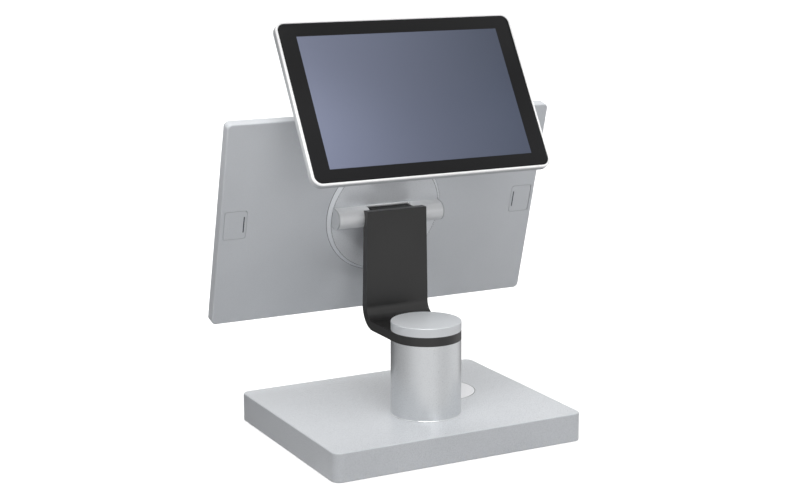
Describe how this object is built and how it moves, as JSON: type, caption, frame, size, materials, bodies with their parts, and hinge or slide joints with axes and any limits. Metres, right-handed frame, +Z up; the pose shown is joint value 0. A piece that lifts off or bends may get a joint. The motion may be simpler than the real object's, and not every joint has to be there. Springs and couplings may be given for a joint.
{
  "type": "two-screen counter terminal",
  "caption": "Free-standing counter terminal: flat base and round post carry a swivelling arm, a tilting main screen unit and a smaller tilting customer screen in front of it.",
  "frame": {"origin": "on the post axis at the surface the base rests on", "axes": "+Z up, -Y towards the customer and the small screen, +Y towards the operator, +X to the right seen from the customer"},
  "size_m": [0.354, 0.2215, 0.4092],
  "materials": {
    "silver_metal": "matte",
    "black_metal": "satin",
    "steel": "satin",
    "ballast_steel": "matte",
    "mat_rubber": "matte",
    "white_plastic": "satin",
    "rim_white": "gloss",
    "grey_plastic": "matte",
    "black_plastic": "matte",
    "board_green": "satin",
    "socket_metal": "satin",
    "washer_polymer": "matte",
    "bronze": "satin",
    "screen_glass": "gloss",
    "panel_glass": "satin",
    "cable_black": "matte"
  },
  "bodies": {
    "base": {"base_housing": "silver_metal", "base_ballast": "ballast_steel", "base_bottom_plate": "steel", "base_mat": "mat_rubber", "base_screws": "steel", "reader_pad": "white_plastic", "reader_board": "board_green", "io_board": "board_green", "lan_socket": "socket_metal", "usb_sockets": "socket_metal", "power_inlet": "black_plastic", "post_tube": "silver_metal", "post_foot_plug": "steel", "post_bolts": "steel", "post_head_plug": "steel", "swivel_stop_pin": "steel", "swivel_lower_washer": "washer_polymer", "swivel_stud": "steel", "swivel_upper_washer": "washer_polymer", "swivel_clamp_plate": "steel", "swivel_disc_spring": "steel", "swivel_nut": "steel", "post_cap": "silver_metal"},
    "arm": {"arm": "black_metal", "arm_harness": "cable_black", "arm_cable_cover": "black_plastic", "arm_knuckle": "black_metal", "knuckle_screws": "steel"},
    "head": {"hinge_barrel": "silver_metal", "barrel_end_caps": "silver_metal", "tilt_shaft": "steel", "tilt_friction_washers": "bronze", "tilt_disc_springs": "steel", "tilt_nuts": "steel", "barrel_screws": "steel", "hinge_disc": "silver_metal", "disc_screws": "steel", "main_rear_cover": "silver_metal", "main_chassis": "steel", "chassis_screws": "steel", "main_lcd_panel": "panel_glass", "main_touch_glass": "screen_glass", "main_board": "board_green", "main_speakers": "black_plastic", "power_switch": "black_plastic", "accessory_sockets": "black_plastic", "customer_bracket": "black_metal", "bracket_screws": "steel", "customer_hinge_pin": "steel", "customer_hinge_nut": "steel"},
    "customer_screen": {"customer_hinge_block": "black_metal", "hinge_block_screws": "steel", "customer_rear_shell": "grey_plastic", "customer_bezel": "rim_white", "customer_lcd_panel": "panel_glass", "customer_glass": "screen_glass", "customer_board": "board_green"},
    "power_button": {"power_button": "silver_metal"},
    "port_cover_left": {"port_cover_left": "silver_metal"},
    "port_cover_right": {"port_cover_right": "silver_metal"}
  },
  "joints": [
    {"name": "arm_swivel", "type": "hinge", "parent": "base", "child": "arm", "pos_m": [0, 0, 0.11], "axis": [0, 0, 1], "range_deg": [-90, 90]},
    {"name": "main_tilt", "type": "hinge", "parent": "arm", "child": "head", "pos_m": [0, 0.0796, 0.2121], "axis": [1, 0, 0], "range_deg": [-15, 30]},
    {"name": "customer_tilt", "type": "hinge", "parent": "head", "child": "customer_screen", "pos_m": [0, 0.03307, 0.32009], "axis": [1, 0, 0], "range_deg": [-20, 25]},
    {"name": "power_button_press", "type": "slide", "parent": "head", "child": "power_button", "axis": [-1, 0, 0], "range_m": [0, 0.0004], "stiffness_N_per_m": 2500, "springref_m": -0.0006},
    {"name": "port_cover_left_swing", "type": "hinge", "parent": "head", "child": "port_cover_left", "pos_m": [-0.17155, 0.09024, 0.21433], "axis": [0, 0.2588, -0.9659], "range_deg": [0, 80]},
    {"name": "port_cover_right_swing", "type": "hinge", "parent": "head", "child": "port_cover_right", "pos_m": [0.17155, 0.09024, 0.21433], "axis": [0, -0.2588, 0.9659], "range_deg": [0, 80]}
  ]
}
